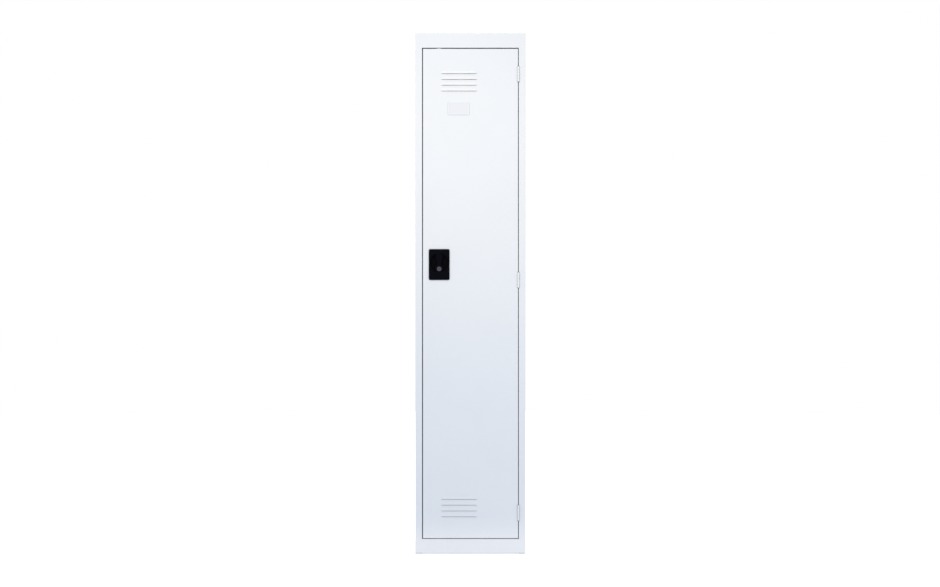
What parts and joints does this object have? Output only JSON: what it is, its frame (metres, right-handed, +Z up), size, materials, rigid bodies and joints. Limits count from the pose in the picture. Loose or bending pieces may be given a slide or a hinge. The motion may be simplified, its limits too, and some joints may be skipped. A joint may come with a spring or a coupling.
{
  "type": "locker cabinet",
  "caption": "Tall steel locker with a hinged louvred door, a recessed turn handle with key lock, lock rods, a hat shelf and a coat rail.",
  "frame": {"origin": "on the floor, under the middle of the cabinet's footprint", "axes": "+Z up, the front with the door and handle faces -Y, +X to the right seen from the front, towards the hinges"},
  "size_m": [0.38, 0.455, 1.8],
  "materials": {
    "powder_coat": "satin",
    "hinge_coat": "satin",
    "black_plastic": "satin",
    "zinc_plate": "satin",
    "lock_metal": "satin",
    "rail_chrome": "polished",
    "buffer_rubber": "matte",
    "card": "matte"
  },
  "bodies": {
    "cabinet": {"left_side_panel": "powder_coat", "right_side_panel": "powder_coat", "top_panel": "powder_coat", "head_stop": "powder_coat", "kick_plate": "powder_coat", "base_panel": "powder_coat", "back_panel": "powder_coat", "hat_shelf": "powder_coat", "coat_rail": "rail_chrome", "rail_sockets": "black_plastic", "rail_screws": "zinc_plate", "shelf_screws": "zinc_plate", "panel_screws": "zinc_plate", "back_screws": "zinc_plate", "door_buffers": "buffer_rubber", "frame_hinge_leaf_top": "hinge_coat", "frame_hinge_leaf_middle": "hinge_coat", "frame_hinge_leaf_bottom": "hinge_coat", "hinge_pin_top": "hinge_coat", "hinge_pin_middle": "hinge_coat", "hinge_pin_bottom": "hinge_coat"},
    "door": {"door_panel": "powder_coat", "door_stiffener": "powder_coat", "card_holder": "powder_coat", "name_card": "card", "door_hinge_leaf_top": "hinge_coat", "door_hinge_leaf_middle": "hinge_coat", "door_hinge_leaf_bottom": "hinge_coat", "lock_housing": "black_plastic", "lock_retainers": "zinc_plate", "retainer_screws": "zinc_plate", "rod_guides": "black_plastic"},
    "handle": {"turn_handle": "black_plastic", "lock_barrel": "lock_metal", "lock_cam": "zinc_plate", "cam_screw": "zinc_plate"},
    "key_plug": {"key_plug": "lock_metal"},
    "handle_bolt": {"handle_bolt": "zinc_plate"},
    "upper_rod": {"upper_lock_rod": "zinc_plate"},
    "lower_rod": {"lower_lock_rod": "zinc_plate"}
  },
  "joints": [
    {"name": "door_swing", "type": "hinge", "parent": "cabinet", "child": "door", "pos_m": [0.166, -0.224, 0.9465], "axis": [0, 0, 1], "range_deg": [0, 170]},
    {"name": "handle_turn", "type": "hinge", "parent": "door", "child": "handle", "pos_m": [-0.108, -0.2125, 1.006], "axis": [0, 1, 0], "range_deg": [0, 90]},
    {"name": "key_turn", "type": "hinge", "parent": "handle", "child": "key_plug", "pos_m": [-0.108, -0.2225, 0.985], "axis": [0, 1, 0], "range_deg": [0, 90]},
    {"name": "bolt_slide", "type": "slide", "parent": "handle", "child": "handle_bolt", "axis": [0, 0, -1], "range_m": [0, 0.004]},
    {"name": "upper_rod_slide", "type": "slide", "parent": "door", "child": "upper_rod", "axis": [0, 0, 1], "range_m": [0, 0.022]},
    {"name": "lower_rod_slide", "type": "slide", "parent": "door", "child": "lower_rod", "axis": [0, 0, -1], "range_m": [0, 0.022]}
  ],
  "couplings": [
    {"joint": "upper_rod_slide", "follows": "handle_turn", "m_per_rad": 0.014},
    {"joint": "lower_rod_slide", "follows": "handle_turn", "m_per_rad": 0.014},
    {"joint": "bolt_slide", "follows": "key_turn", "m_per_rad": 0.002546}
  ]
}
